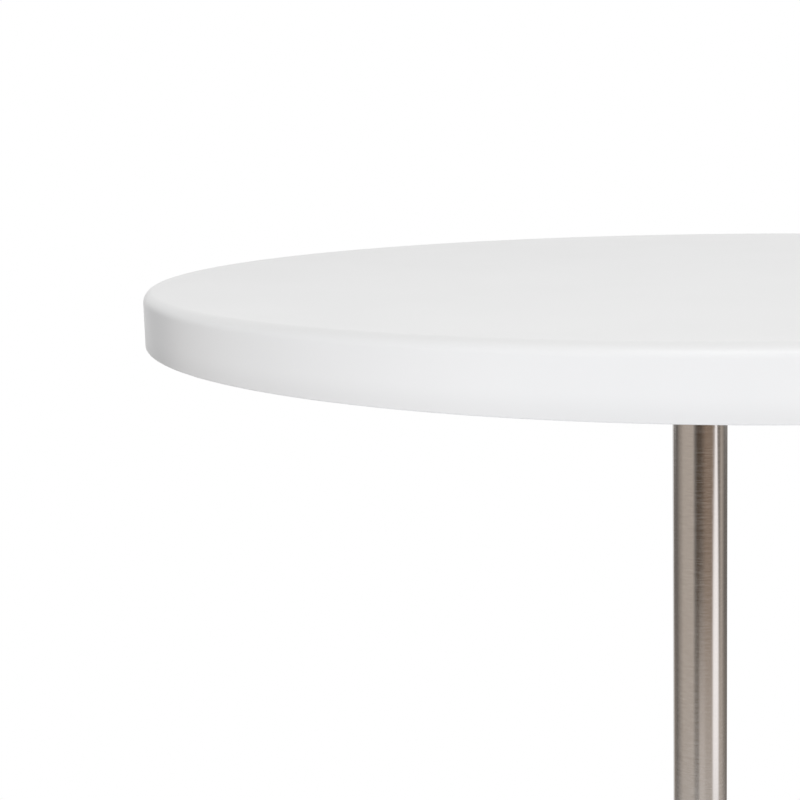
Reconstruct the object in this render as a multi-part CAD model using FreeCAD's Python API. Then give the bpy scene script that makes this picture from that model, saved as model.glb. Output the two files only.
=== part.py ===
"""Round pedestal table: a thick white top on one slender brushed steel column and a weighted disc base.

The frame is in millimetres with +Z up. The origin is on the floor, on the column's axis.
One threaded tie rod runs the whole height and clamps weight, cover, column and top plate together.
The top plate is screwed into metal inserts in the underside of the top. Four screw glides level the base.
"""

import FreeCAD, Part

import math
import os

# Table top: one lacquered board with a soft upper edge and a crisp lower edge
TABLE_HEIGHT = 730.0
TOP_DIAMETER = 600.0
TOP_THICKNESS = 28.0
TOP_UPPER_EDGE_RADIUS = 5.5
TOP_LOWER_EDGE_RADIUS = 0.8

# Column: one round tube from the base cover up to the top plate
COLUMN_DIAMETER = 30.0
COLUMN_WALL = 2.0
COLUMN_END_CHAMFER = 0.4

# Top plate: a steel disc that carries the top
PLATE_DIAMETER = 220.0
PLATE_THICKNESS = 5.0
PLATE_EDGE_CHAMFER = 1.0
PLATE_SCREW_COUNT = 6
PLATE_SCREW_EDGE_DISTANCE = 20.0

# Button-head plate screws and the threaded inserts that take them
SCREW_DIAMETER = 6.0
SCREW_LENGTH = 16.0
SCREW_HOLE_CLEARANCE = 0.3
SCREW_HEAD_DIAMETER = 10.5
SCREW_HEAD_HEIGHT = 3.3
SCREW_HEAD_EDGE_RADIUS = 2.8
SCREW_SOCKET_WIDTH = 4.0
SCREW_SOCKET_DEPTH = 2.0
INSERT_WALL = 1.8
INSERT_LENGTH = 13.0
INSERT_HOLE_SPARE_DEPTH = 1.5
INSERT_END_CHAMFER = 0.6

# Tie rod with a plain washer, a split lock washer and a nut at each end
ROD_DIAMETER = 10.0
ROD_CLEARANCE = 0.25
ROD_PROJECTION = 1.5
ROD_END_CHAMFER = 1.0
NUT_WIDTH = 17.0
NUT_HEIGHT = 8.0
NUT_CHAMFER_HEIGHT = 0.9
WASHER_DIAMETER = 28.0
WASHER_THICKNESS = 2.5
LOCK_WASHER_DIAMETER = 18.0
LOCK_WASHER_THICKNESS = 2.2
LOCK_WASHER_SPLIT = 1.5
POCKET_CLEARANCE = 4.0
POCKET_SPARE_DEPTH = 1.5
THREAD_CLEARANCE = 0.05

# Turned bushes that centre the tube on the base and on the plate
BUSH_LENGTH = 24.0
BUSH_CLEARANCE = 0.1
BUSH_END_CHAMFER = 1.5
PILOT_DIAMETER = 16.0
PILOT_CLEARANCE = 0.1
PILOT_SEAT_DEPTH = 3.0
PILOT_END_GAP = 0.5

# Base: a spun sheet cover over a flat steel weight
BASE_DIAMETER = 400.0
COVER_SHEET = 1.5
COVER_EDGE_RADIUS = 6.0
COVER_GAP = 0.3
COVER_SKIRT_DROP = 3.0
COVER_LIP_SHARE = 0.3
WEIGHT_THICKNESS = 16.0
WEIGHT_LOWER_CHAMFER = 2.0
WEIGHT_NUT_RECESS_DEPTH = 9.0

# Collar that trims the foot of the column, held by one set screw
COLLAR_DIAMETER = 46.0
COLLAR_HEIGHT = 9.0
COLLAR_CLEARANCE = 0.15
COLLAR_EDGE_RADIUS = 2.5
COLLAR_FOOT_CHAMFER = 0.5
SET_SCREW_DIAMETER = 4.0
SET_SCREW_RECESS = 0.8
SET_SCREW_SEAT = 0.05
SET_SCREW_SOCKET_WIDTH = 2.0
SET_SCREW_SOCKET_DEPTH = 1.8

# Levelling glides: a steel stud whose head is moulded into a nylon pad
GLIDE_COUNT = 4
GLIDE_EDGE_DISTANCE = 30.0
GLIDE_RETRACT_TRAVEL = 2.5
GLIDE_RETRACT_SPARE = 0.5
STUD_DIAMETER = 8.0
STUD_CLEARANCE = 0.08
STUD_END_CHAMFER = 1.0
STUD_TOP_SPARE = 0.5
STUD_HEAD_DIAMETER = 15.0
STUD_HEAD_HEIGHT = 3.0
PAD_DIAMETER = 30.0
PAD_HEIGHT = 7.0
PAD_SOLE_THICKNESS = 2.2
PAD_FOOT_HEIGHT = 3.4
PAD_FOOT_EDGE_RADIUS = 1.2
PAD_HEX_WIDTH = 24.0

# Every cut runs past its face by this much
CUT_OVERRUN = 1.0

# Radii and levels that several pieces share
TOP_RADIUS = TOP_DIAMETER / 2
COLUMN_RADIUS = COLUMN_DIAMETER / 2
BORE_RADIUS = COLUMN_RADIUS - COLUMN_WALL
PLATE_RADIUS = PLATE_DIAMETER / 2
ROD_RADIUS = ROD_DIAMETER / 2
ROD_HOLE_RADIUS = ROD_RADIUS + ROD_CLEARANCE
NUT_THREAD_RADIUS = ROD_RADIUS + THREAD_CLEARANCE
PILOT_RADIUS = PILOT_DIAMETER / 2
PILOT_HOLE_RADIUS = PILOT_RADIUS + PILOT_CLEARANCE
POCKET_RADIUS = (WASHER_DIAMETER + POCKET_CLEARANCE) / 2
SCREW_RADIUS = SCREW_DIAMETER / 2
INSERT_BORE_RADIUS = SCREW_RADIUS + THREAD_CLEARANCE
INSERT_RADIUS = INSERT_BORE_RADIUS + INSERT_WALL
SCREW_CIRCLE_RADIUS = PLATE_RADIUS - PLATE_SCREW_EDGE_DISTANCE
BASE_RADIUS = BASE_DIAMETER / 2
WEIGHT_RADIUS = BASE_RADIUS - COVER_SHEET - COVER_GAP
GLIDE_CIRCLE_RADIUS = BASE_RADIUS - GLIDE_EDGE_DISTANCE
STUD_RADIUS = STUD_DIAMETER / 2

WEIGHT_BOTTOM = PAD_HEIGHT + GLIDE_RETRACT_TRAVEL + GLIDE_RETRACT_SPARE
WEIGHT_TOP = WEIGHT_BOTTOM + WEIGHT_THICKNESS
COVER_TOP = WEIGHT_TOP + COVER_SHEET
SKIRT_BOTTOM = WEIGHT_BOTTOM - COVER_SKIRT_DROP
TOP_UNDERSIDE = TABLE_HEIGHT - TOP_THICKNESS
PLATE_UNDERSIDE = TOP_UNDERSIDE - PLATE_THICKNESS
RECESS_CEILING = WEIGHT_BOTTOM + WEIGHT_NUT_RECESS_DEPTH
CLAMP_STACK = WASHER_THICKNESS + LOCK_WASHER_THICKNESS + NUT_HEIGHT
ROD_TOP = TOP_UNDERSIDE + CLAMP_STACK + ROD_PROJECTION
ROD_BOTTOM = RECESS_CEILING - CLAMP_STACK - ROD_PROJECTION
STUD_TOP = WEIGHT_TOP - GLIDE_RETRACT_TRAVEL - STUD_TOP_SPARE

AXIS = FreeCAD.Vector(0, 0, 1)
ORIGIN = FreeCAD.Vector(0, 0, 0)
FULL_TURN = 360.0
HEXAGON_SIDES = 6


def point(radius, height):
    """A point of a turned outline, in the XZ plane."""
    return FreeCAD.Vector(radius, 0, height)


def rounded_corner(before, corner, after, radius):
    """The two tangent points and the middle of the arc that rounds one corner of an outline."""
    back = (before - corner).normalize()
    ahead = (after - corner).normalize()
    half_angle = back.getAngle(ahead) / 2
    reach = radius / math.tan(half_angle)
    inward = (back + ahead).normalize()
    centre = corner + inward * (radius / math.sin(half_angle))
    return corner + back * reach, centre - inward * radius, corner + ahead * reach


def outline(corners):
    """A closed wire through (radius, height, corner radius) points, with an arc at each rounded corner."""
    places = [point(radius, height) for radius, height, _ in corners]
    edges = []
    starts = []
    ends = []
    for index, (_, _, rounding) in enumerate(corners):
        corner = places[index]
        if rounding > 0:
            following = places[(index + 1) % len(places)]
            start, middle, end = rounded_corner(places[index - 1], corner, following, rounding)
            edges.append(Part.Arc(start, middle, end).toShape())
        else:
            start = end = corner
        starts.append(start)
        ends.append(end)
    for index, end in enumerate(ends):
        edges.append(Part.LineSegment(end, starts[(index + 1) % len(starts)]).toShape())
    return Part.Wire(Part.__sortEdges__(edges))


def turned(corners):
    """A solid of revolution about the column's axis, from its outline."""
    return Part.Face(outline(corners)).revolve(ORIGIN, AXIS, FULL_TURN)


def sharp(*places):
    """Outline points that all have sharp corners."""
    return [(radius, height, 0) for radius, height in places]


def hole_up(radius, face, depth):
    """A cutter on the axis that enters a downward face and ends at this depth above it."""
    return Part.makeCylinder(radius, depth + CUT_OVERRUN, FreeCAD.Vector(0, 0, face - CUT_OVERRUN))


def hole_down(radius, face, depth):
    """A cutter on the axis that enters an upward face and ends at this depth below it."""
    return Part.makeCylinder(radius, depth + CUT_OVERRUN, FreeCAD.Vector(0, 0, face - depth))


def hole_through(radius, low, high):
    """A cutter on the axis that runs past both faces."""
    return hole_up(radius, low, high - low + CUT_OVERRUN)


def hexagon_prism(width, low, high):
    """A hexagonal prism on the axis, measured across its flats."""
    corner_radius = width / 2 / math.cos(math.pi / HEXAGON_SIDES)
    ring = [
        FreeCAD.Vector(corner_radius * math.cos(angle), corner_radius * math.sin(angle), low)
        for angle in (math.tau * side / HEXAGON_SIDES for side in range(HEXAGON_SIDES))
    ]
    return Part.Face(Part.makePolygon(ring + ring[:1])).extrude(AXIS * (high - low))


def circle_places(count, radius, start_share):
    """Evenly spaced places on a circle about the axis; the first is turned by a share of one step."""
    step = math.tau / count
    angles = [step * (index + start_share) for index in range(count)]
    return [FreeCAD.Vector(radius * math.cos(a), radius * math.sin(a), 0) for a in angles]


def copies_at(shape, places):
    """One copy of a shape, made on the axis, at each place."""
    copies = []
    for place in places:
        copy = shape.copy()
        copy.translate(place)
        copies.append(copy)
    return copies


SCREW_START_SHARE = 0.0
GLIDE_START_SHARE = 0.5
SCREW_PLACES = circle_places(PLATE_SCREW_COUNT, SCREW_CIRCLE_RADIUS, SCREW_START_SHARE)
GLIDE_PLACES = circle_places(GLIDE_COUNT, GLIDE_CIRCLE_RADIUS, GLIDE_START_SHARE)


def table_top():
    """The board, with a blind pocket for the upper nut and blind holes for the inserts."""
    board = turned([
        (0, TOP_UNDERSIDE, 0),
        (TOP_RADIUS, TOP_UNDERSIDE, TOP_LOWER_EDGE_RADIUS),
        (TOP_RADIUS, TABLE_HEIGHT, TOP_UPPER_EDGE_RADIUS),
        (0, TABLE_HEIGHT, 0),
    ])
    pocket = hole_up(POCKET_RADIUS, TOP_UNDERSIDE, ROD_TOP - TOP_UNDERSIDE + POCKET_SPARE_DEPTH)
    screw_reach = max(INSERT_LENGTH, SCREW_LENGTH - PLATE_THICKNESS)
    insert_depth = screw_reach + INSERT_HOLE_SPARE_DEPTH
    insert_hole = hole_up(INSERT_RADIUS + THREAD_CLEARANCE, TOP_UNDERSIDE, insert_depth)
    return board.cut([pocket] + copies_at(insert_hole, SCREW_PLACES))


def top_inserts():
    """Threaded sleeves set flush into the underside of the board."""
    top = TOP_UNDERSIDE + INSERT_LENGTH
    sleeve = turned(sharp(
        (INSERT_BORE_RADIUS, TOP_UNDERSIDE),
        (INSERT_RADIUS, TOP_UNDERSIDE),
        (INSERT_RADIUS, top - INSERT_END_CHAMFER),
        (INSERT_RADIUS - INSERT_END_CHAMFER, top),
        (INSERT_BORE_RADIUS, top),
    ))
    return Part.makeCompound(copies_at(sleeve, SCREW_PLACES))


def top_plate():
    """The steel disc between column and board, with a pilot hole and a ring of screw holes."""
    disc = turned(sharp(
        (PILOT_HOLE_RADIUS, PLATE_UNDERSIDE),
        (PLATE_RADIUS - PLATE_EDGE_CHAMFER, PLATE_UNDERSIDE),
        (PLATE_RADIUS, PLATE_UNDERSIDE + PLATE_EDGE_CHAMFER),
        (PLATE_RADIUS, TOP_UNDERSIDE),
        (PILOT_HOLE_RADIUS, TOP_UNDERSIDE),
    ))
    hole = hole_through(SCREW_RADIUS + SCREW_HOLE_CLEARANCE, PLATE_UNDERSIDE, TOP_UNDERSIDE)
    return disc.cut(copies_at(hole, SCREW_PLACES))


def plate_screws():
    """Button-head screws, driven upwards through the plate into the inserts."""
    head_radius = SCREW_HEAD_DIAMETER / 2
    head_bottom = PLATE_UNDERSIDE - SCREW_HEAD_HEIGHT
    tip = PLATE_UNDERSIDE + SCREW_LENGTH
    screw = turned([
        (0, head_bottom, 0),
        (head_radius, head_bottom, SCREW_HEAD_EDGE_RADIUS),
        (head_radius, PLATE_UNDERSIDE, 0),
        (SCREW_RADIUS, PLATE_UNDERSIDE, 0),
        (SCREW_RADIUS, tip, 0),
        (0, tip, 0),
    ])
    socket = hexagon_prism(SCREW_SOCKET_WIDTH, head_bottom - CUT_OVERRUN, head_bottom + SCREW_SOCKET_DEPTH)
    return Part.makeCompound(copies_at(screw.cut(socket), SCREW_PLACES))


def column_tube():
    """The round tube, standing on the base cover and carrying the top plate."""
    return turned(sharp(
        (BORE_RADIUS, COVER_TOP),
        (COLUMN_RADIUS - COLUMN_END_CHAMFER, COVER_TOP),
        (COLUMN_RADIUS, COVER_TOP + COLUMN_END_CHAMFER),
        (COLUMN_RADIUS, PLATE_UNDERSIDE - COLUMN_END_CHAMFER),
        (COLUMN_RADIUS - COLUMN_END_CHAMFER, PLATE_UNDERSIDE),
        (BORE_RADIUS, PLATE_UNDERSIDE),
    ))


def column_bush(seat, inward, pilot_length):
    """A bush in one end of the tube: its pilot leaves the tube past the seat, its body goes inward."""
    body_radius = BORE_RADIUS - BUSH_CLEARANCE
    pilot_end = seat - inward * pilot_length
    body_end = seat + inward * BUSH_LENGTH
    return turned(sharp(
        (ROD_HOLE_RADIUS, pilot_end),
        (PILOT_RADIUS, pilot_end),
        (PILOT_RADIUS, seat),
        (body_radius, seat),
        (body_radius, body_end - inward * BUSH_END_CHAMFER),
        (body_radius - BUSH_END_CHAMFER, body_end),
        (ROD_HOLE_RADIUS, body_end),
    ))


def tie_rod():
    """The threaded rod, drawn as a plain bar of the thread's outer diameter."""
    return turned(sharp(
        (0, ROD_BOTTOM),
        (ROD_RADIUS - ROD_END_CHAMFER, ROD_BOTTOM),
        (ROD_RADIUS, ROD_BOTTOM + ROD_END_CHAMFER),
        (ROD_RADIUS, ROD_TOP - ROD_END_CHAMFER),
        (ROD_RADIUS - ROD_END_CHAMFER, ROD_TOP),
        (0, ROD_TOP),
    ))


def washer(low):
    """A plain washer round the rod, with its lower face at this level."""
    high = low + WASHER_THICKNESS
    return turned(sharp(
        (ROD_HOLE_RADIUS, low),
        (WASHER_DIAMETER / 2, low),
        (WASHER_DIAMETER / 2, high),
        (ROD_HOLE_RADIUS, high),
    ))


def lock_washer(low):
    """A split spring washer, closed flat under the nut."""
    high = low + LOCK_WASHER_THICKNESS
    radius = LOCK_WASHER_DIAMETER / 2
    ring = turned(sharp((ROD_HOLE_RADIUS, low), (radius, low), (radius, high), (ROD_HOLE_RADIUS, high)))
    split = Part.makeBox(
        radius + CUT_OVERRUN,
        LOCK_WASHER_SPLIT,
        LOCK_WASHER_THICKNESS + CUT_OVERRUN * 2,
        FreeCAD.Vector(0, -LOCK_WASHER_SPLIT / 2, low - CUT_OVERRUN),
    )
    return ring.cut(split)


def hexagon_nut(low):
    """A hexagon nut on the rod, with both faces chamfered to a round."""
    high = low + NUT_HEIGHT
    face_radius = NUT_WIDTH / 2
    corner_radius = face_radius / math.cos(math.pi / HEXAGON_SIDES)
    barrel = turned(sharp(
        (NUT_THREAD_RADIUS, low),
        (face_radius, low),
        (corner_radius, low + NUT_CHAMFER_HEIGHT),
        (corner_radius, high - NUT_CHAMFER_HEIGHT),
        (face_radius, high),
        (NUT_THREAD_RADIUS, high),
    ))
    return hexagon_prism(NUT_WIDTH, low, high).common(barrel)


def base_cover():
    """The spun cover: a flat sheet disc with a rounded rim and a short skirt round the weight."""
    inner_radius = BASE_RADIUS - COVER_SHEET
    lip_radius = COVER_SHEET * COVER_LIP_SHARE
    return turned([
        (PILOT_HOLE_RADIUS, COVER_TOP, 0),
        (PILOT_HOLE_RADIUS, WEIGHT_TOP, 0),
        (inner_radius, WEIGHT_TOP, COVER_EDGE_RADIUS - COVER_SHEET),
        (inner_radius, SKIRT_BOTTOM, lip_radius),
        (BASE_RADIUS, SKIRT_BOTTOM, lip_radius),
        (BASE_RADIUS, COVER_TOP, COVER_EDGE_RADIUS),
    ])


def base_weight():
    """The steel disc inside the cover, with the nut recess, the pilot hole and the tapped glide holes."""
    disc = turned([
        (0, WEIGHT_BOTTOM, 0),
        (WEIGHT_RADIUS - WEIGHT_LOWER_CHAMFER, WEIGHT_BOTTOM, 0),
        (WEIGHT_RADIUS, WEIGHT_BOTTOM + WEIGHT_LOWER_CHAMFER, 0),
        (WEIGHT_RADIUS, WEIGHT_TOP, COVER_EDGE_RADIUS - COVER_SHEET),
        (0, WEIGHT_TOP, 0),
    ])
    pilot_hole = hole_down(PILOT_HOLE_RADIUS, WEIGHT_TOP, PILOT_SEAT_DEPTH + PILOT_END_GAP)
    nut_recess = hole_up(POCKET_RADIUS, WEIGHT_BOTTOM, WEIGHT_NUT_RECESS_DEPTH)
    rod_hole = hole_through(ROD_HOLE_RADIUS, WEIGHT_BOTTOM, WEIGHT_TOP)
    glide_hole = hole_through(STUD_RADIUS + STUD_CLEARANCE, WEIGHT_BOTTOM, WEIGHT_TOP)
    return disc.cut([pilot_hole, nut_recess, rod_hole] + copies_at(glide_hole, GLIDE_PLACES))


def set_screw_axis_height():
    """The set screw sits half way up the collar."""
    return COVER_TOP + COLLAR_HEIGHT / 2


def radial_bar(radius, start, length):
    """A round bar along +X at the set screw's height."""
    place = FreeCAD.Vector(start, 0, set_screw_axis_height())
    return Part.makeCylinder(radius, length, place, FreeCAD.Vector(1, 0, 0))


def column_collar():
    """The trim ring round the foot of the column, with a tapped hole for its set screw."""
    bore_radius = COLUMN_RADIUS + COLLAR_CLEARANCE
    radius = COLLAR_DIAMETER / 2
    high = COVER_TOP + COLLAR_HEIGHT
    edge_radius = min(COLLAR_EDGE_RADIUS, (radius - bore_radius) / 2)
    ring = turned([
        (bore_radius, COVER_TOP, 0),
        (radius - COLLAR_FOOT_CHAMFER, COVER_TOP, 0),
        (radius, COVER_TOP + COLLAR_FOOT_CHAMFER, 0),
        (radius, high, edge_radius),
        (bore_radius, high, 0),
    ])
    hole = radial_bar(SET_SCREW_DIAMETER / 2 + THREAD_CLEARANCE, COLUMN_RADIUS, radius)
    return ring.cut(hole)


def collar_set_screw():
    """The headless screw that holds the collar against the tube."""
    start = COLUMN_RADIUS + SET_SCREW_SEAT
    end = COLLAR_DIAMETER / 2 - SET_SCREW_RECESS
    body = radial_bar(SET_SCREW_DIAMETER / 2, start, end - start)
    socket = hexagon_prism(SET_SCREW_SOCKET_WIDTH, end - SET_SCREW_SOCKET_DEPTH, end + CUT_OVERRUN)
    socket.rotate(ORIGIN, FreeCAD.Vector(0, 1, 0), FULL_TURN / 4)
    socket.translate(FreeCAD.Vector(0, 0, set_screw_axis_height()))
    return body.cut(socket)


def glide_stud():
    """One threaded stud on the axis, drawn plain, with the flat head that the pad grips."""
    head_top = PAD_SOLE_THICKNESS + STUD_HEAD_HEIGHT
    return turned(sharp(
        (0, PAD_SOLE_THICKNESS),
        (STUD_HEAD_DIAMETER / 2, PAD_SOLE_THICKNESS),
        (STUD_HEAD_DIAMETER / 2, head_top),
        (STUD_RADIUS, head_top),
        (STUD_RADIUS, STUD_TOP - STUD_END_CHAMFER),
        (STUD_RADIUS - STUD_END_CHAMFER, STUD_TOP),
        (0, STUD_TOP),
    ))


def glide_pad():
    """One moulded pad on the axis: a round foot under a hexagon that a wrench can turn."""
    foot = turned([
        (0, 0, 0),
        (PAD_DIAMETER / 2, 0, PAD_FOOT_EDGE_RADIUS),
        (PAD_DIAMETER / 2, PAD_FOOT_HEIGHT, PAD_FOOT_EDGE_RADIUS),
        (0, PAD_FOOT_HEIGHT, 0),
    ])
    body = foot.fuse(hexagon_prism(PAD_HEX_WIDTH, PAD_FOOT_HEIGHT, PAD_HEIGHT)).removeSplitter()
    head_top = PAD_SOLE_THICKNESS + STUD_HEAD_HEIGHT
    head_radius = STUD_HEAD_DIAMETER / 2 + THREAD_CLEARANCE
    head_space = Part.makeCylinder(head_radius, STUD_HEAD_HEIGHT, FreeCAD.Vector(0, 0, PAD_SOLE_THICKNESS))
    stud_hole = hole_down(STUD_RADIUS + THREAD_CLEARANCE, PAD_HEIGHT, PAD_HEIGHT - head_top)
    return body.cut([head_space, stud_hole])


def numbered(name, shape, places):
    """One node for each copy of a shape, numbered from 1."""
    return {f"{name}_{index}": copy for index, copy in enumerate(copies_at(shape, places), 1)}


def all_pieces():
    """Every node of the table by its name."""
    upper_lock_level = TOP_UNDERSIDE + WASHER_THICKNESS
    lower_washer_level = RECESS_CEILING - WASHER_THICKNESS
    lower_lock_level = lower_washer_level - LOCK_WASHER_THICKNESS
    pieces = {
        "table_top": table_top(),
        "top_inserts": top_inserts(),
        "top_plate": top_plate(),
        "plate_screws": plate_screws(),
        "column_tube": column_tube(),
        "upper_bush": column_bush(PLATE_UNDERSIDE, -1, PLATE_THICKNESS - PILOT_END_GAP),
        "lower_bush": column_bush(COVER_TOP, 1, COVER_SHEET + PILOT_SEAT_DEPTH),
        "tie_rod": tie_rod(),
        "upper_washer": washer(TOP_UNDERSIDE),
        "upper_lock_washer": lock_washer(upper_lock_level),
        "upper_nut": hexagon_nut(upper_lock_level + LOCK_WASHER_THICKNESS),
        "lower_washer": washer(lower_washer_level),
        "lower_lock_washer": lock_washer(lower_lock_level),
        "lower_nut": hexagon_nut(lower_lock_level - NUT_HEIGHT),
        "base_cover": base_cover(),
        "base_weight": base_weight(),
        "column_collar": column_collar(),
        "collar_set_screw": collar_set_screw(),
    }
    pieces.update(numbered("glide_stud", glide_stud(), GLIDE_PLACES))
    pieces.update(numbered("glide_pad", glide_pad(), GLIDE_PLACES))
    return pieces


def main():
    os.makedirs("parts", exist_ok=True)
    for name, shape in all_pieces().items():
        shape.exportStep(os.path.join("parts", f"{name}.step"))
        print(f"{name}: {len(shape.Solids)} solid, {shape.Volume:.0f} mm3, valid {shape.isValid()}")


main()
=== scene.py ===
import math

import bmesh
import bpy
from mathutils import Matrix, Vector


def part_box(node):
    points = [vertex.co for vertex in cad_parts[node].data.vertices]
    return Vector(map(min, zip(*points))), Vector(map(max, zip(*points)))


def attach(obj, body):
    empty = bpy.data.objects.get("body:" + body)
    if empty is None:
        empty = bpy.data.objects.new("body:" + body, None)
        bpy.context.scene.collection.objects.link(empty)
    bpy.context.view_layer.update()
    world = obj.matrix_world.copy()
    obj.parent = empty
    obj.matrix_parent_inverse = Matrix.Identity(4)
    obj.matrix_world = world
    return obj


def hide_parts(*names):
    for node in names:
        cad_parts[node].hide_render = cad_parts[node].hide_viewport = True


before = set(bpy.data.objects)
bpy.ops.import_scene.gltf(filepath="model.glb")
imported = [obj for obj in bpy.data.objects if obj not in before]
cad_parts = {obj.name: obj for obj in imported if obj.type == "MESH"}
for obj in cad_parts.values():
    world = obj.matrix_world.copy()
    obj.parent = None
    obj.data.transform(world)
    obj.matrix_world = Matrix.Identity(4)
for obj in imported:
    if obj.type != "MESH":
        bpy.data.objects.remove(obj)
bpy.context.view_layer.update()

# Base weight
# A flat disc cut from thick steel plate, drilled and tapped, then powder coated black.
# It lies inside the base cover and gives the table its stand. Only its underside shows.


def add_node(tree, kind, sockets=None, **settings):
    """Add one shader node; a socket's value is a number, a colour or another node's output."""
    node = tree.nodes.new(kind)
    for name, value in settings.items():
        setattr(node, name, value)
    for name, value in (sockets or {}).items():
        if isinstance(value, bpy.types.NodeSocket):
            tree.links.new(value, node.inputs[name])
        else:
            node.inputs[name].default_value = value
    return node


def new_finish(name, **shader_values):
    """A node material, its node tree and its main shader with the given constants."""
    finish = bpy.data.materials.new(name)
    finish.use_nodes = True
    tree = finish.node_tree
    shader = tree.nodes["Principled BSDF"]
    for socket, value in shader_values.items():
        shader.inputs[socket.replace("_", " ")].default_value = value
    return finish, tree, shader


def object_noise(tree, grain, detail=2.0):
    """Noise that is fixed to the piece, with features about this many metres across."""
    place = add_node(tree, "ShaderNodeTexCoord").outputs["Object"]
    return add_node(tree, "ShaderNodeTexNoise", {"Vector": place, "Scale": 1 / grain, "Detail": detail})


def tone_between(tree, shader, noise, dark, light, low=0.35, high=0.65):
    """Let the base colour wander between two tones with a noise."""
    ramp = add_node(tree, "ShaderNodeValToRGB", {"Fac": noise.outputs["Fac"]})
    ramp.color_ramp.elements[0].position = low
    ramp.color_ramp.elements[0].color = (*dark, 1)
    ramp.color_ramp.elements[1].position = high
    ramp.color_ramp.elements[1].color = (*light, 1)
    tree.links.new(ramp.outputs["Color"], shader.inputs["Base Color"])


def roughness_between(tree, shader, noise, smooth, rough, low=0.3, high=0.7):
    """Let the roughness wander between two values with a noise."""
    spread = add_node(
        tree,
        "ShaderNodeMapRange",
        {
            "Value": noise.outputs["Fac"],
            "From Min": low,
            "From Max": high,
            "To Min": smooth,
            "To Max": rough,
        },
    )
    tree.links.new(spread.outputs["Result"], shader.inputs["Roughness"])


def relief(tree, shader, noise, height, strength):
    """Raise the surface by a noise, to a height in metres."""
    bump = add_node(
        tree,
        "ShaderNodeBump",
        {"Height": noise.outputs["Fac"], "Distance": height, "Strength": strength},
    )
    tree.links.new(bump.outputs["Normal"], shader.inputs["Normal"])


def black_powder_coat():
    """Stippled black coating: a soft gloss that breaks up over a fine grain."""
    finish, tree, shader = new_finish("black_powder_coat", Metallic=0.0)
    stipple = object_noise(tree, grain=0.0009, detail=3.0)
    clouds = object_noise(tree, grain=0.05)
    tone_between(tree, shader, clouds, dark=(0.026, 0.026, 0.027), light=(0.042, 0.042, 0.043))
    roughness_between(tree, shader, stipple, smooth=0.42, rough=0.58)
    relief(tree, shader, stipple, height=0.0001, strength=0.6)
    return finish


def dress(node, finish):
    """Give a node its finish."""
    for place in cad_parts[node].material_slots:
        place.material = finish


black_coat = black_powder_coat()
dress("base_weight", black_coat)

# Levelling glides
# Nylon pads moulded round the heads of zinc-plated studs, screwed into the base weight.
# A hexagon above each round foot takes a wrench. The studs' threads are rolled.


def moulded_nylon():
    """Dense black nylon with the fine spark texture of its mould."""
    finish, tree, shader = new_finish("moulded_nylon", Metallic=0.0)
    spark = object_noise(tree, grain=0.0005)
    flow = object_noise(tree, grain=0.012)
    tone_between(tree, shader, flow, dark=(0.022, 0.022, 0.022), light=(0.034, 0.034, 0.033))
    roughness_between(tree, shader, spark, smooth=0.45, rough=0.6)
    relief(tree, shader, spark, height=0.00005, strength=0.5)
    return finish


def zinc_plate():
    """Bright zinc with a faint cloudy passivation."""
    finish, tree, shader = new_finish("zinc_plate", Metallic=1.0)
    clouds = object_noise(tree, grain=0.006, detail=4.0)
    crystals = object_noise(tree, grain=0.0006)
    tone_between(tree, shader, clouds, dark=(0.50, 0.51, 0.52), light=(0.66, 0.66, 0.64))
    roughness_between(tree, shader, clouds, smooth=0.29, rough=0.4)
    relief(tree, shader, crystals, height=0.00004, strength=0.4)
    return finish


def fresh_start():
    """Leave nothing selected, so that an operator acts on the new piece alone."""
    if bpy.context.object and bpy.context.object.mode != "OBJECT":
        bpy.ops.object.mode_set(mode="OBJECT")
    bpy.ops.object.select_all(action="DESELECT")


def new_drum(name, radius, low, high, facets):
    """A capped drum on the column's axis between two levels, left open in edit mode."""
    fresh_start()
    bpy.ops.mesh.primitive_cylinder_add(
        vertices=facets, radius=radius, depth=high - low, location=(0, 0, (low + high) / 2)
    )
    piece = bpy.context.object
    piece.name = piece.data.name = name
    bpy.ops.object.transform_apply(location=True, rotation=True, scale=True)
    bpy.ops.object.mode_set(mode="EDIT")
    return piece


def pick_edges(piece, wanted):
    """Select only the edges that a test wants."""
    shape = bmesh.from_edit_mesh(piece.data)
    bpy.ops.mesh.select_all(action="DESELECT")
    bpy.ops.mesh.select_mode(type="EDGE")
    for edge in shape.edges:
        edge.select_set(wanted(edge))
    bmesh.update_edit_mesh(piece.data)


def pick_corners(piece, wanted):
    """Select only the corners that a test wants."""
    shape = bmesh.from_edit_mesh(piece.data)
    bpy.ops.mesh.select_all(action="DESELECT")
    bpy.ops.mesh.select_mode(type="VERT")
    for corner in shape.verts:
        corner.select_set(wanted(corner))
    bmesh.update_edit_mesh(piece.data)


SMALL = 1e-5
WELD = 1e-6


def rim_at(level, radius):
    """A test for the edges that run round a rim at this level and radius."""

    def on_rim(edge):
        return all(
            abs(corner.co.z - level) < SMALL and abs(corner.co.xy.length - radius) < SMALL
            for corner in edge.verts
        )

    return on_rim


def round_rim(piece, level, radius, rounding, steps):
    """Round the edges of one rim."""
    pick_edges(piece, rim_at(level, radius))
    bpy.ops.mesh.bevel(offset=rounding, offset_type="OFFSET", segments=steps, profile=0.5, affect="EDGES")


SMOOTH_ANGLE = math.radians(35)


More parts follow.
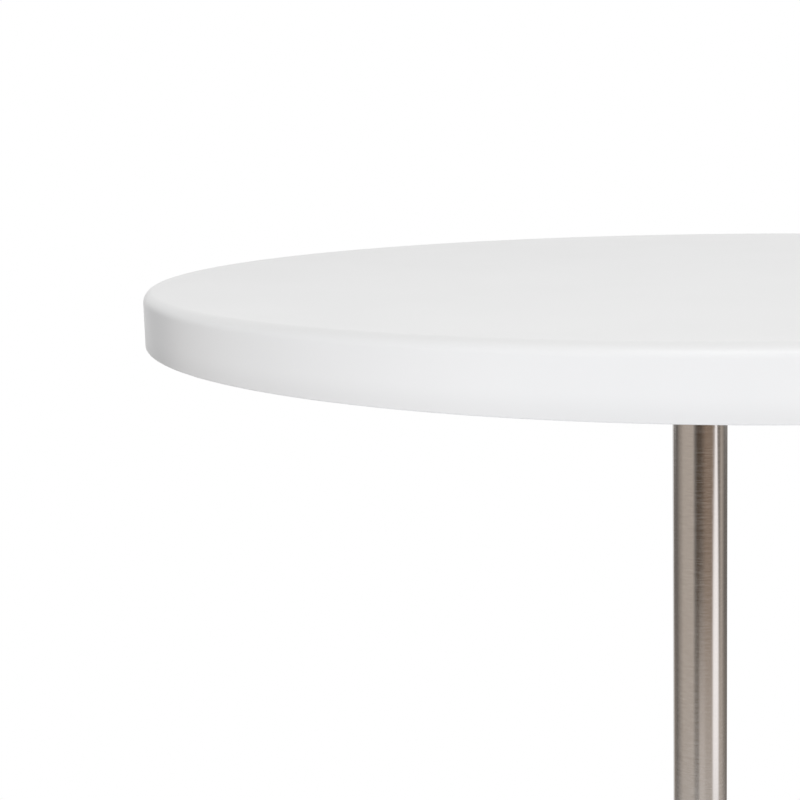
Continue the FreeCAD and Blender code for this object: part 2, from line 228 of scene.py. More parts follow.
def close_up(piece):
    """Leave edit mode with clean normals and even shading on flats and rounds."""
    bpy.ops.mesh.select_all(action="SELECT")
    bpy.ops.mesh.remove_doubles(threshold=WELD)
    bpy.ops.mesh.normals_make_consistent(inside=False)
    bpy.ops.object.mode_set(mode="OBJECT")
    bpy.ops.object.shade_smooth_by_angle(angle=SMOOTH_ANGLE)
    bpy.ops.object.modifier_add(type="WEIGHTED_NORMAL")
    piece.modifiers[-1].keep_sharp = True
    bpy.ops.object.modifier_apply(modifier=piece.modifiers[-1].name)


def place_piece(piece, node, body, finish):
    """Let a modelled piece stand for its node, ride with its body and wear its finish."""
    piece.data.materials.clear()
    piece.data.materials.append(finish)
    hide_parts(node)
    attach(piece, body)


def work_on(piece):
    """Select one piece alone and make it the one that operators act on."""
    fresh_start()
    piece.select_set(True)
    bpy.context.view_layer.objects.active = piece


def use_up(solid):
    """Take a helping solid and its mesh out of the scene."""
    mesh = solid.data
    bpy.data.objects.remove(solid)
    bpy.data.meshes.remove(mesh)


def combine(piece, tool, operation):
    """Add another solid to a piece, cut it away, or keep what both share. The other solid is used up."""
    work_on(piece)
    bpy.ops.object.modifier_add(type="BOOLEAN")
    piece.modifiers[-1].operation = operation
    piece.modifiers[-1].solver = "EXACT"
    piece.modifiers[-1].object = tool
    bpy.ops.object.modifier_apply(modifier=piece.modifiers[-1].name)
    use_up(tool)


THREAD_STEPS = 32
THREAD_DEPTH_IN_PITCHES = 0.613
CREST_WIDTH_IN_QUARTERS = 0.5
SPARE_TURNS = 2
QUARTER_CUTS = 3
BLANK_SPARE = 0.0002
BLANK_FACETS = 64
CUT_THRESHOLD = 1e-8


def wound_thread(name, radius, pitch, low, high):
    """A right-hand thread on the column's axis: one turn's outline wound upwards, cut square at its ends."""
    root = radius - THREAD_DEPTH_IN_PITCHES * pitch
    start = low - SPARE_TURNS * pitch
    quarter = pitch / (QUARTER_CUTS + 1)
    fresh_start()
    bpy.ops.mesh.primitive_plane_add(
        size=pitch,
        location=(root + pitch / 2, 0, start + pitch / 2),
        rotation=(math.pi / 2, 0, 0),
    )
    thread = bpy.context.object
    thread.name = thread.data.name = name
    bpy.ops.object.transform_apply(location=True, rotation=True, scale=True)
    bpy.ops.object.mode_set(mode="EDIT")
    pick_corners(thread, lambda corner: corner.co.x > root + SMALL)
    bpy.ops.mesh.delete(type="VERT")
    bpy.ops.mesh.select_all(action="SELECT")
    bpy.ops.mesh.subdivide(number_cuts=QUARTER_CUTS)
    crest_low, crest_high = start + 2 * quarter, start + 3 * quarter
    pick_corners(thread, lambda corner: crest_low - SMALL < corner.co.z < crest_high + SMALL)
    bpy.ops.transform.translate(value=(radius - root, 0, 0))
    bpy.ops.transform.resize(
        value=(1, 1, CREST_WIDTH_IN_QUARTERS), center_override=(radius, 0, (crest_low + crest_high) / 2)
    )
    bpy.ops.object.mode_set(mode="OBJECT")
    bpy.ops.object.modifier_add(type="SCREW")
    winding = thread.modifiers[-1]
    winding.axis = "Z"
    winding.steps = winding.render_steps = THREAD_STEPS
    winding.screw_offset = pitch
    winding.iterations = math.ceil((high - low) / pitch) + 2 * SPARE_TURNS
    bpy.ops.object.modifier_apply(modifier=winding.name)
    bpy.ops.object.mode_set(mode="EDIT")
    bpy.ops.mesh.select_all(action="SELECT")
    bpy.ops.mesh.remove_doubles(threshold=WELD)
    for level, ends in ((low, {"clear_inner": True}), (high, {"clear_outer": True})):
        bpy.ops.mesh.select_all(action="SELECT")
        bpy.ops.mesh.bisect(
            plane_co=(0, 0, level), plane_no=(0, 0, 1), use_fill=True, threshold=CUT_THRESHOLD, **ends
        )
    bpy.ops.mesh.select_all(action="SELECT")
    bpy.ops.mesh.normals_make_consistent(inside=False)
    return thread


def threaded_end(name, radius, pitch, low, high, chamfer):
    """A threaded bar whose upper end is chamfered as on a lathe."""
    thread = wound_thread(name, radius, pitch, low, high + pitch)
    blank = new_drum("turned_blank", radius + BLANK_SPARE, low - pitch, high, BLANK_FACETS)
    round_rim(blank, high, radius + BLANK_SPARE, chamfer + BLANK_SPARE, steps=1)
    combine(thread, blank, "INTERSECT")
    return thread


nylon = moulded_nylon()
zinc = zinc_plate()
GLIDE_COUNT = 4
STUD_RADIUS = 0.004
STUD_PITCH = 0.00125
STUD_END_CHAMFER = 0.001
STUD_HEAD_HEIGHT = 0.003
STUD_HEAD_FACETS = 48

stud_low, stud_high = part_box("glide_stud_1")
stud_head_top = stud_low.z + STUD_HEAD_HEIGHT
stud = threaded_end(
    "stud_pattern", STUD_RADIUS, STUD_PITCH, stud_head_top - STUD_PITCH, stud_high.z, STUD_END_CHAMFER
)
stud_head = new_drum(
    "stud_head", (stud_high.x - stud_low.x) / 2, stud_low.z, stud_head_top, STUD_HEAD_FACETS
)
combine(stud, stud_head, "UNION")
bpy.ops.object.mode_set(mode="EDIT")
close_up(stud)
for glide in range(1, GLIDE_COUNT + 1):
    dress(f"glide_pad_{glide}", nylon)
    stud_low, stud_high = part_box(f"glide_stud_{glide}")
    work_on(stud)
    bpy.ops.object.duplicate()
    own_stud = bpy.context.object
    own_stud.name = own_stud.data.name = f"glide_stud_{glide}_threaded"
    own_stud.location = ((stud_low.x + stud_high.x) / 2, (stud_low.y + stud_high.y) / 2, 0)
    bpy.ops.object.transform_apply(location=True, rotation=True, scale=True)
    place_piece(own_stud, f"glide_stud_{glide}", f"glide_{glide}", zinc)
use_up(stud)

# Base cover
# Stainless sheet spun over a former into a shallow lid with a rounded rim, brushed on the lathe.
# It drops over the base weight, and the column stands on it.


def pick_faces(piece, wanted):
    """Select only the faces that a test wants."""
    shape = bmesh.from_edit_mesh(piece.data)
    bpy.ops.mesh.select_all(action="DESELECT")
    bpy.ops.mesh.select_mode(type="FACE")
    for face in shape.faces:
        face.select_set(wanted(face))
    shape.select_flush_mode()
    bmesh.update_edit_mesh(piece.data)


NEARLY_UPRIGHT = 0.99


def faces_up_or_down(face):
    """A test for flat faces that look straight up or down."""
    return abs(face.normal.z) > NEARLY_UPRIGHT


def cap_at(level):
    """A test for the flat cap at this level."""

    def on_cap(face):
        return faces_up_or_down(face) and all(abs(corner.co.z - level) < SMALL for corner in face.verts)

    return on_cap


HAIR_LINES_PER_METRE = 2100.0
HAIR_BREAKS_PER_METRE = 160.0


def turned_brushing(name, dark, light, smooth, rough):
    """Steel brushed while it turned: hair lines run round the axis, on flats and on walls alike."""
    finish, tree, shader = new_finish(name, Metallic=1.0, Anisotropic=0.9, Anisotropic_Rotation=0.25)
    place = add_node(tree, "ShaderNodeTexCoord").outputs["Object"]
    parts = add_node(tree, "ShaderNodeSeparateXYZ", {"Vector": place})
    flat = add_node(tree, "ShaderNodeCombineXYZ", {"X": parts.outputs["X"], "Y": parts.outputs["Y"]})
    reach = add_node(tree, "ShaderNodeVectorMath", {0: flat.outputs["Vector"]}, operation="LENGTH")
    along = add_node(
        tree, "ShaderNodeMath", {0: reach.outputs["Value"], 1: parts.outputs["Z"]}, operation="ADD"
    )
    lines = add_node(
        tree, "ShaderNodeMath", {0: along.outputs["Value"], 1: HAIR_LINES_PER_METRE}, operation="MULTIPLY"
    )
    around = add_node(
        tree,
        "ShaderNodeVectorMath",
        {0: flat.outputs["Vector"], "Scale": HAIR_BREAKS_PER_METRE},
        operation="SCALE",
    )
    sweep = add_node(tree, "ShaderNodeSeparateXYZ", {"Vector": around.outputs["Vector"]})
    hair_place = add_node(
        tree,
        "ShaderNodeCombineXYZ",
        {"X": sweep.outputs["X"], "Y": sweep.outputs["Y"], "Z": lines.outputs["Value"]},
    )
    hair = add_node(
        tree, "ShaderNodeTexNoise", {"Vector": hair_place.outputs["Vector"], "Scale": 1.0, "Detail": 3.0}
    )
    tone_between(tree, shader, hair, dark, light, low=0.25, high=0.75)
    roughness_between(tree, shader, hair, smooth, rough)
    relief(tree, shader, hair, height=0.00001, strength=0.05)
    turn = add_node(tree, "ShaderNodeTangent", direction_type="RADIAL", axis="Z")
    tree.links.new(turn.outputs["Tangent"], shader.inputs["Tangent"])
    return finish


cover_low, cover_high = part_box("base_cover")
cover_radius = cover_high.x
COVER_SHEET = 0.0015
COVER_ROUNDING = 0.006
COVER_ROUNDING_STEPS = 10
COVER_FACETS = 192
COVER_FLAT_BORDER = 0.003
COVER_HOLE_RADIUS = 0.0081

cover = new_drum("base_cover_lid", cover_radius, cover_low.z, cover_high.z, COVER_FACETS)
pick_faces(cover, cap_at(cover_low.z))
bpy.ops.mesh.delete(type="FACE")
round_rim(cover, cover_high.z, cover_radius, COVER_ROUNDING, COVER_ROUNDING_STEPS)
pick_faces(cover, cap_at(cover_high.z))
bpy.ops.mesh.inset(thickness=COVER_FLAT_BORDER)
cover_flat_radius = cover_radius - COVER_ROUNDING - COVER_FLAT_BORDER
bpy.ops.mesh.inset(thickness=cover_flat_radius - COVER_HOLE_RADIUS)
bpy.ops.mesh.delete(type="FACE")
bpy.ops.object.mode_set(mode="OBJECT")
bpy.ops.object.modifier_add(type="SOLIDIFY")
cover.modifiers[-1].thickness = COVER_SHEET
cover.modifiers[-1].offset = -1
bpy.ops.object.modifier_apply(modifier=cover.modifiers[-1].name)
bpy.ops.object.mode_set(mode="EDIT")
close_up(cover)
brushed_cover = turned_brushing(
    "brushed_cover_steel", dark=(0.54, 0.525, 0.51), light=(0.61, 0.595, 0.575), smooth=0.19, rough=0.26
)
place_piece(cover, "base_cover", "table", brushed_cover)

# Column tube
# A straight length of round stainless tube, cut square and brushed round and round.
# It stands on the base cover, and the tie rod inside pulls it tight between cover and top plate.
tube_low, tube_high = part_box("column_tube")
tube_radius = tube_high.x
TUBE_WALL = 0.002
TUBE_END_CHAMFER = 0.0004
TUBE_CHAMFER_STEPS = 2
TUBE_FACETS = 128

tube = new_drum("column_tube_brushed", tube_radius, tube_low.z, tube_high.z, TUBE_FACETS)
pick_faces(tube, faces_up_or_down)
bpy.ops.mesh.inset(thickness=TUBE_WALL, use_individual=True)
bpy.ops.mesh.bridge_edge_loops()
for level in (tube_low.z, tube_high.z):
    round_rim(tube, level, tube_radius, TUBE_END_CHAMFER, TUBE_CHAMFER_STEPS)
close_up(tube)
brushed_tube = turned_brushing(
    "brushed_tube_steel", dark=(0.555, 0.535, 0.515), light=(0.63, 0.607, 0.583), smooth=0.125, rough=0.22
)
place_piece(tube, "column_tube", "table", brushed_tube)

# Column collar and its set screw
# A ring turned from stainless bar, with a rounded shoulder, slipped over the foot of the tube.
# A headless zinc-plated screw in its side holds it down on the cover.
brushed_collar = turned_brushing(
    "brushed_collar_steel", dark=(0.54, 0.52, 0.50), light=(0.61, 0.59, 0.57), smooth=0.18, rough=0.26
)
dress("column_collar", brushed_collar)
dress("collar_set_screw", zinc)

# Bushes
# Turned steel plugs in the two ends of the tube, with a pilot that centres them.
# They are hidden once the column is clamped.


def turned_steel():
    """Plain machined steel with faint tool marks and a film of oil."""
    finish, tree, shader = new_finish("turned_steel", Metallic=1.0)
    clouds = object_noise(tree, grain=0.01, detail=3.0)
    tone_between(tree, shader, clouds, dark=(0.33, 0.33, 0.34), light=(0.45, 0.45, 0.45))
    roughness_between(tree, shader, clouds, smooth=0.3, rough=0.45)
    return finish


machined = turned_steel()
dress("upper_bush", machined)
dress("lower_bush", machined)

# Top plate and its screws
# A disc of steel plate with a chamfered edge, powder coated black like the weight.
# Button-head screws hold it up against the underside of the top.
dress("top_plate", black_coat)
dress("plate_screws", zinc)

# Tie rod, nuts and washers
# Zinc-plated bar through the whole column, with a rolled thread, a nut, a split washer and a washer at
# each end. The upper nut sits in a pocket of the top, the lower one in a recess of the weight.
ROD_RADIUS = 0.005
ROD_SHANK_RADIUS = 0.004
ROD_PITCH = 0.0015
ROD_THREAD_LENGTH = 0.035
ROD_END_CHAMFER = 0.001
ROD_FACETS = 40

rod_low, rod_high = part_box("tie_rod")
rod = new_drum(
    "tie_rod_threaded",
    ROD_SHANK_RADIUS,
    rod_low.z + ROD_THREAD_LENGTH - ROD_PITCH,
    rod_high.z - ROD_THREAD_LENGTH + ROD_PITCH,
    ROD_FACETS,
)
upper_thread = threaded_end(
    "upper_thread", ROD_RADIUS, ROD_PITCH, rod_high.z - ROD_THREAD_LENGTH, rod_high.z, ROD_END_CHAMFER
)
work_on(upper_thread)
bpy.ops.object.duplicate()
lower_thread = bpy.context.object
lower_thread.location = (0, 0, rod_low.z + rod_high.z)
lower_thread.rotation_euler = (math.pi, 0, 0)
bpy.ops.object.transform_apply(location=True, rotation=True, scale=True)
for thread in (upper_thread, lower_thread):
    combine(rod, thread, "UNION")
bpy.ops.object.mode_set(mode="EDIT")
close_up(rod)
place_piece(rod, "tie_rod", "table", zinc)
for end in ("upper", "lower"):
    for piece_kind in ("washer", "lock_washer", "nut"):
        dress(f"{end}_{piece_kind}", zinc)

# Table top
# A round of fibreboard with a soft upper edge and a crisp lower one, sprayed white and rubbed to a satin.
# Its underside is drilled for the upper nut and for the brass inserts that take the plate screws.
top_low, top_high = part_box("table_top")
top_radius = top_high.x
UPPER_ROUNDING = 0.0055
UPPER_ROUNDING_STEPS = 12
LOWER_ROUNDING = 0.0008
LOWER_ROUNDING_STEPS = 4
TOP_FLAT_BORDER = 0.004
TOP_FACETS = 320
POCKET_RADIUS = 0.016
POCKET_DEPTH = 0.0157
INSERT_HOLE_RADIUS = 0.0049
INSERT_HOLE_DEPTH = 0.0145
INSERT_CIRCLE_RADIUS = 0.090
INSERT_COUNT = 6
DRILL_FACETS = 64
DRILL_SPARE = 0.005

top = new_drum("table_top_lacquered", top_radius, top_low.z, top_high.z, TOP_FACETS)
round_rim(top, top_high.z, top_radius, UPPER_ROUNDING, UPPER_ROUNDING_STEPS)
round_rim(top, top_low.z, top_radius, LOWER_ROUNDING, LOWER_ROUNDING_STEPS)
for level in (top_high.z, top_low.z):
    pick_faces(top, cap_at(level))
    bpy.ops.mesh.inset(thickness=TOP_FLAT_BORDER)


def drill(radius, depth, place):
    """Drill a blind hole of a depth into the top's underside."""
    bit = new_drum("drill_bit", radius, top_low.z - DRILL_SPARE, top_low.z + depth, DRILL_FACETS)
    bpy.ops.object.mode_set(mode="OBJECT")
    bit.location = place
    bpy.ops.object.transform_apply(location=True, rotation=True, scale=True)
    combine(top, bit, "DIFFERENCE")


drill(POCKET_RADIUS, POCKET_DEPTH, place=(0, 0, 0))
for insert in range(INSERT_COUNT):
    turn = math.tau * insert / INSERT_COUNT
    insert_place = (INSERT_CIRCLE_RADIUS * math.cos(turn), INSERT_CIRCLE_RADIUS * math.sin(turn), 0)
    drill(INSERT_HOLE_RADIUS, INSERT_HOLE_DEPTH, insert_place)
bpy.ops.object.mode_set(mode="EDIT")
close_up(top)


def soft_step(tree, value, low, high, start=0.0, finish=1.0):
    """A smooth change from one value to another as something rises between two levels."""
    step = add_node(
        tree,
        "ShaderNodeMapRange",
        {"Value": value, "From Min": low, "From Max": high, "To Min": start, "To Max": finish},
        interpolation_type="SMOOTHSTEP",
    )
    return step.outputs["Result"]


# Painted shade: over this height above the top's lower face, the lacquer's colour darkens to this share
# towards the lower edge.
LOWER_EDGE_SHADE_HEIGHT = 0.011
LOWER_EDGE_SHADE_SHARE = 0.935


def satin_lacquer():
    """White sprayed lacquer: nearly even colour, with a painted shade that darkens it towards the lower
    edge, and a faint orange peel.
    """
    finish, tree, shader = new_finish("white_satin_lacquer", Metallic=0.0, IOR=1.5)
    clouds = object_noise(tree, grain=0.12, detail=3.0)
    tone_between(tree, shader, clouds, dark=(0.853, 0.853, 0.852), light=(0.867, 0.867, 0.866))
    unshaded_tone = shader.inputs["Base Color"].links[0].from_socket
    place = add_node(tree, "ShaderNodeTexCoord").outputs["Object"]
    height = add_node(tree, "ShaderNodeSeparateXYZ", {"Vector": place}).outputs["Z"]
    # Painted shade: the colour is scaled darker towards the lower edge of the rim.
    lower_edge_shade = soft_step(tree, height, top_low.z, top_low.z + LOWER_EDGE_SHADE_HEIGHT, LOWER_EDGE_SHADE_SHARE, 1.0)
    coat = add_node(tree, "ShaderNodeVectorMath", {0: unshaded_tone, "Scale": lower_edge_shade}, operation="SCALE")
    tree.links.new(coat.outputs["Vector"], shader.inputs["Base Color"])
    rubbing = object_noise(tree, grain=0.03, detail=3.0)
    roughness_between(tree, shader, rubbing, smooth=0.285, rough=0.33)
    peel = object_noise(tree, grain=0.0022)
    relief(tree, shader, peel, height=0.00002, strength=0.12)
    return finish


place_piece(top, "table_top", "table", satin_lacquer())


def machined_brass():
    """Brass with fine turning marks."""
    finish, tree, shader = new_finish("machined_brass", Metallic=1.0)
    clouds = object_noise(tree, grain=0.003, detail=3.0)
    tone_between(tree, shader, clouds, dark=(0.60, 0.42, 0.17), light=(0.74, 0.55, 0.26))
    roughness_between(tree, shader, clouds, smooth=0.29, rough=0.4)
    return finish


dress("top_inserts", machined_brass())

# Floor
# Plain pale studio floor. Near the table it takes the shadow, and further out it fades to the white of
# the studio. From below it can be looked through, and under the base it lets light through to the glides.
FLOOR_SIDE = 40
FLOOR_TONE = (0.88, 0.88, 0.88, 1)
FADE_START = 0.3
FADE_END = 0.85
LIT_UNDER_BASE = (0.185, 0.19)
fresh_start()
bpy.ops.mesh.primitive_plane_add(size=FLOOR_SIDE, location=(0, 0, 0))
floor = bpy.context.object
floor.name = floor.data.name = "studio_floor"


def pale_floor():
    """Matt pale floor that fades to plain white for the camera."""
    finish, tree, shader = new_finish(
        "pale_floor", Base_Color=FLOOR_TONE, Roughness=0.9, Specular_IOR_Level=0.0
    )
    place = add_node(tree, "ShaderNodeTexCoord").outputs["Object"]
    reach = add_node(tree, "ShaderNodeVectorMath", {0: place}, operation="LENGTH")
    far = soft_step(tree, reach.outputs["Value"], FADE_START, FADE_END)
    path = add_node(tree, "ShaderNodeLightPath")
    seen_far = add_node(
        tree, "ShaderNodeMath", {0: far, 1: path.outputs["Is Camera Ray"]}, operation="MULTIPLY"
    )
    white = add_node(tree, "ShaderNodeEmission", {"Color": (1, 1, 1, 1), "Strength": 1.0})
    fade = add_node(
        tree,
        "ShaderNodeMixShader",
        {0: seen_far.outputs["Value"], 1: shader.outputs["BSDF"], 2: white.outputs["Emission"]},
    )
    side = add_node(tree, "ShaderNodeNewGeometry")
    below = add_node(
        tree,
        "ShaderNodeMath",
        {0: side.outputs["Backfacing"], 1: path.outputs["Is Camera Ray"]},
        operation="MULTIPLY",
    )
    under_base = soft_step(tree, reach.outputs["Value"], *LIT_UNDER_BASE, 1.0, 0.0)
    unseen = add_node(
        tree, "ShaderNodeMath", {0: 1.0, 1: path.outputs["Is Camera Ray"]}, operation="SUBTRACT"
    )
    lit_through = add_node(
        tree, "ShaderNodeMath", {0: under_base, 1: unseen.outputs["Value"]}, operation="MULTIPLY"
    )
    open_floor = add_node(
        tree,
        "ShaderNodeMath",
        {0: below.outputs["Value"], 1: lit_through.outputs["Value"]},
        operation="MAXIMUM",
    )
    clear = add_node(tree, "ShaderNodeBsdfTransparent")
    see_through = add_node(
        tree,
        "ShaderNodeMixShader",
        {0: open_floor.outputs["Value"], 1: fade.outputs["Shader"], 2: clear.outputs["BSDF"]},
    )
    tree.links.new(see_through.outputs["Shader"], tree.nodes["Material Output"].inputs["Surface"])
    return finish


floor.data.materials.append(pale_floor())

# Studio flats
# A ring of plain white, grey and brown cards round the table, and one bright window that narrows upwards.
# They show only in the polished surfaces. Angles are from the camera's side, left negative.
FLAT_RADIUS = 0.80
FLAT_HEIGHT = 0.95
FLAT_FACETS = 96
ROOM_WHITE = (1.0, 1.0, 1.0)
WHITE = (0.90, 0.90, 0.90)
SAND = (0.82, 0.74, 0.68)
WARM_GREY = (0.63, 0.56, 0.50)
STONE = (0.34, 0.30, 0.265)
CHARCOAL = (0.21, 0.19, 0.175)
BROWN = (0.33, 0.24, 0.18)
DARK_BROWN = (0.105, 0.075, 0.053)
CLOTH_BLACK = (0.08, 0.08, 0.08)
LOW_CARDS = [
    (-180, WHITE),
    (-149, WHITE),
    (-139, STONE),
    (-112, CHARCOAL),
    (-74, WARM_GREY),
    (-30, WARM_GREY),
    (-18, STONE),
    (-8, STONE),
    (1, SAND),
    (14, SAND),
    (28, WARM_GREY),
    (100, WARM_GREY),
    (122, STONE),
    (150, CHARCOAL),
    (170, STONE),
    (180, WHITE),
]
HALF_WAY_CARDS = [
    (-180, WHITE),
    (-149, WHITE),
    (-139, CHARCOAL),
    (-112, CHARCOAL),
    (-72, WARM_GREY),
    (-30, WARM_GREY),
    (-19, CHARCOAL),
    (-9, DARK_BROWN),
    (3, DARK_BROWN),
    (26, BROWN),
    (55, BROWN),
    (80, CHARCOAL),
    (86, CHARCOAL),
    (100, WARM_GREY),
    (122, CHARCOAL),
    (158, CHARCOAL),
    (172, WHITE),
    (180, WHITE),
]
HIGH_CARDS = [
    (-180, WHITE),
    (-121, WHITE),
    (-113, CLOTH_BLACK),
    (-107, CLOTH_BLACK),
    (-98, STONE),
    (-60, WARM_GREY),
    (-30, WARM_GREY),
    (-19, CHARCOAL),
    (-9, DARK_BROWN),
    (3, DARK_BROWN),
    (26, BROWN),
    (110, STONE),
    (140, WHITE),
    (180, WHITE),
]
LOW_TO_HALF_WAY = (0.16, 0.30)
HALF_WAY_TO_HIGH = (0.47, 0.58)
HIGH_TO_ROOM = (0.66, 0.92)
WINDOW_LIGHT = (1.48, 1.44, 1.46)
WINDOW_ANGLE = math.radians(70)
WINDOW_HALF_WIDE = math.radians(15)
WINDOW_HALF_NARROW = math.radians(3.5)
WINDOW_LEVELS = (0.29, 0.56)
WINDOW_SOFT_EDGE = (0.6, 1.4)
WINDOW_TOP = (0.62, 0.70)
fresh_start()
bpy.ops.mesh.primitive_cylinder_add(
    vertices=FLAT_FACETS,
    radius=FLAT_RADIUS,
    depth=FLAT_HEIGHT,
    end_fill_type="NOTHING",
    location=(0, 0, FLAT_HEIGHT / 2),
)
flats = bpy.context.object
flats.name = flats.data.name = "studio_flats"
bpy.ops.object.transform_apply(location=True, rotation=True, scale=True)


FULL_TURN = 360


def card_ramp(tree, angle, cards):
    """The cards' tones at their angles round the ring, blended from card to card."""
    share = add_node(
        tree, "ShaderNodeMapRange", {"Value": angle, "From Min": -math.pi, "From Max": math.pi}
    )
    ramp = add_node(tree, "ShaderNodeValToRGB", {"Fac": share.outputs["Result"]})
    stops = ramp.color_ramp.elements
    while len(stops) < len(cards):
        stops.new(0.5)
    for stop, (degrees, tone) in zip(stops, cards):
        stop.position = degrees / FULL_TURN + 0.5
        stop.color = (*tone, 1)
    return ramp.outputs["Color"]


MIX_FIRST_COLOUR, MIX_SECOND_COLOUR, MIX_RESULT_COLOUR = 6, 7, 2


def blend_tones(tree, share, first, second):
    """Mix two tones by a share."""
    blend = add_node(tree, "ShaderNodeMix", {"Factor": share}, data_type="RGBA")
    for socket, tone in ((MIX_FIRST_COLOUR, first), (MIX_SECOND_COLOUR, second)):
        if isinstance(tone, bpy.types.NodeSocket):
            tree.links.new(tone, blend.inputs[socket])
        else:
            blend.inputs[socket].default_value = (*tone, 1)
    return blend.outputs[MIX_RESULT_COLOUR]


def card_greys():
    """The cards and the window by their angle round the table and their height."""
    finish = bpy.data.materials.new("card_greys")
    finish.use_nodes = True
    tree = finish.node_tree
    place = add_node(tree, "ShaderNodeTexCoord").outputs["Object"]
    parts = add_node(tree, "ShaderNodeSeparateXYZ", {"Vector": place})
    height = parts.outputs["Z"]
    toward = add_node(tree, "ShaderNodeMath", {0: parts.outputs["Y"], 1: -1.0}, operation="MULTIPLY")
    angle = add_node(
        tree, "ShaderNodeMath", {0: parts.outputs["X"], 1: toward.outputs["Value"]}, operation="ARCTAN2"
    ).outputs["Value"]
    tone = card_ramp(tree, angle, LOW_CARDS)
    share = soft_step(tree, height, *LOW_TO_HALF_WAY)
    tone = blend_tones(tree, share, tone, card_ramp(tree, angle, HALF_WAY_CARDS))
    share = soft_step(tree, height, *HALF_WAY_TO_HIGH)
    tone = blend_tones(tree, share, tone, card_ramp(tree, angle, HIGH_CARDS))
    share = soft_step(tree, height, *HIGH_TO_ROOM)
    tone = blend_tones(tree, share, tone, ROOM_WHITE)
    half_width = soft_step(tree, height, *WINDOW_LEVELS, WINDOW_HALF_WIDE, WINDOW_HALF_NARROW)
    window_end = soft_step(tree, height, *WINDOW_TOP)
    aside = add_node(tree, "ShaderNodeMath", {0: angle, 1: WINDOW_ANGLE}, operation="SUBTRACT")
    distance = add_node(tree, "ShaderNodeMath", {0: aside.outputs["Value"]}, operation="ABSOLUTE")
    across = add_node(
        tree, "ShaderNodeMath", {0: distance.outputs["Value"], 1: half_width}, operation="DIVIDE"
    )
    beside = soft_step(tree, across.outputs["Value"], *WINDOW_SOFT_EDGE)
    outside = add_node(tree, "ShaderNodeMath", {0: beside, 1: window_end}, operation="MAXIMUM")
    tone = blend_tones(tree, outside.outputs["Value"], WINDOW_LIGHT, tone)
    glow = add_node(tree, "ShaderNodeEmission", {"Color": tone, "Strength": 1.0})
    tree.links.new(glow.outputs["Emission"], tree.nodes["Material Output"].inputs["Surface"])
    return finish


flats.data.materials.append(card_greys())
flats.visible_camera = False
flats.visible_diffuse = False
flats.visible_shadow = False
flats.visible_transmission = False

# Dark flag
# A black cloth on a frame behind the left of the table, out of the camera's sight.
# It takes some of the room's light away from that side.
FLAG_PLACE = (-0.85, 0.36, 0.74)
FLAG_WIDTH = 1.40
FLAG_TALL = 1.00
fresh_start()
bpy.ops.mesh.primitive_plane_add(size=1, location=FLAG_PLACE, rotation=(0, math.pi / 2, 0))
flag = bpy.context.object
flag.name = flag.data.name = "dark_flag"
flag.scale = (FLAG_TALL, FLAG_WIDTH, 1)
bpy.ops.object.transform_apply(location=True, rotation=True, scale=True)


def black_cloth():
    """Matt black cloth that takes in nearly all light."""
    finish, tree, shader = new_finish("black_cloth", Roughness=1.0)
    weave = object_noise(tree, grain=0.01)
    tone_between(tree, shader, weave, dark=(0.01, 0.01, 0.01), light=(0.02, 0.02, 0.02))
    return finish


flag.data.materials.append(black_cloth())
flag.visible_camera = False
flag.visible_glossy = False
flag.visible_shadow = False
flag.visible_transmission = False

# Studio light
# A white room gives most of the light, evenly from all round. A weak soft box in front and above, and
# a long low one in front, add a little shape. The low one doesn't show in the steel.
LAMP_AIM = (0, 0, 0.7)
KEY_PLACE = (0.1, -0.95, 1.4)
KEY_SIZE = (0.5, 0.5)
KEY_WATTS = 1.3
FILL_PLACE = (0.0, -1.1, 0.2)
FILL_SIZE = (1.6, 0.3)
FILL_WATTS = 2.55
FILL_TINT = (0.97, 1.0, 1.08)
ROOM_LIGHT = 0.82


def soft_lamp(name, place, size, watts):
    """A soft box of a width and a height, turned to the table."""
    light = bpy.data.lights.new(name, "AREA")
    light.shape = "RECTANGLE"
    light.size, light.size_y = size
    light.energy = watts
    lamp = bpy.data.objects.new(name, light)
    lamp.location = place
    lamp.visible_camera = False
    lamp.rotation_euler = (Vector(LAMP_AIM) - Vector(place)).to_track_quat("-Z", "Y").to_euler()
    bpy.context.scene.collection.objects.link(lamp)
    return lamp


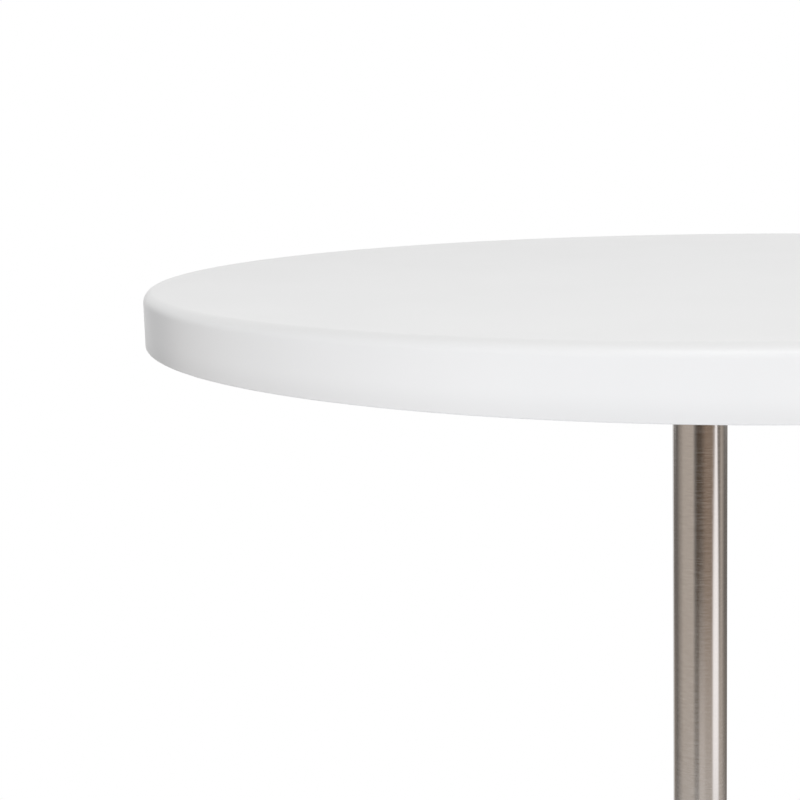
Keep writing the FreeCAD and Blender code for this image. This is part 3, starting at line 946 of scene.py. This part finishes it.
soft_lamp("key_soft_box", KEY_PLACE, KEY_SIZE, KEY_WATTS)
fill_lamp = soft_lamp("fill_soft_box", FILL_PLACE, FILL_SIZE, FILL_WATTS)
fill_lamp.data.color = FILL_TINT
fill_lamp.visible_glossy = False

room = bpy.data.worlds.new("white_room")
bpy.context.scene.world = room
room.use_nodes = True
room_tree = room.node_tree
background = room_tree.nodes["Background"]
background.inputs["Color"].default_value = (1, 1, 1, 1)
path = add_node(room_tree, "ShaderNodeLightPath")
seen = add_node(
    room_tree,
    "ShaderNodeMath",
    {0: path.outputs["Is Camera Ray"], 1: path.outputs["Is Glossy Ray"]},
    operation="MAXIMUM",
)
seen_or_through = add_node(
    room_tree,
    "ShaderNodeMath",
    {0: seen.outputs["Value"], 1: path.outputs["Is Transmission Ray"]},
    operation="MAXIMUM",
)
room_level = add_node(
    room_tree,
    "ShaderNodeMapRange",
    {"Value": seen_or_through.outputs["Value"], "To Min": ROOM_LIGHT, "To Max": 1.0},
)
room_tree.links.new(room_level.outputs["Result"], background.inputs["Strength"])

# Camera
# A close view of the left of the top and the upper column, held a little off level.
CAMERA_PLACE = (0.0, -0.7672, 0.7954)
CAMERA_PITCH = 0.1265
CAMERA_HEADING = 0.2167
CAMERA_ROLL = -0.0281
SENSOR = 36.0
FOCAL_PIXELS = 1373.7
FRAME_PIXELS = 800
AXIS_ROW = 330
NEAREST_SEEN = 0.01
lens = bpy.data.cameras.new("photo_camera")
lens.sensor_width = SENSOR
lens.lens = SENSOR * FOCAL_PIXELS / FRAME_PIXELS
lens.shift_y = (AXIS_ROW - FRAME_PIXELS / 2) / FRAME_PIXELS
lens.clip_start = NEAREST_SEEN
camera = bpy.data.objects.new("photo_camera", lens)
bpy.context.scene.collection.objects.link(camera)
camera.matrix_world = (
    Matrix.Translation(CAMERA_PLACE)
    @ Matrix.Rotation(CAMERA_HEADING, 4, "Z")
    @ Matrix.Rotation(math.pi / 2 - CAMERA_PITCH, 4, "X")
    @ Matrix.Rotation(CAMERA_ROLL, 4, "Z")
)
bpy.context.scene.camera = camera
bpy.context.scene.view_settings.view_transform = "Standard"
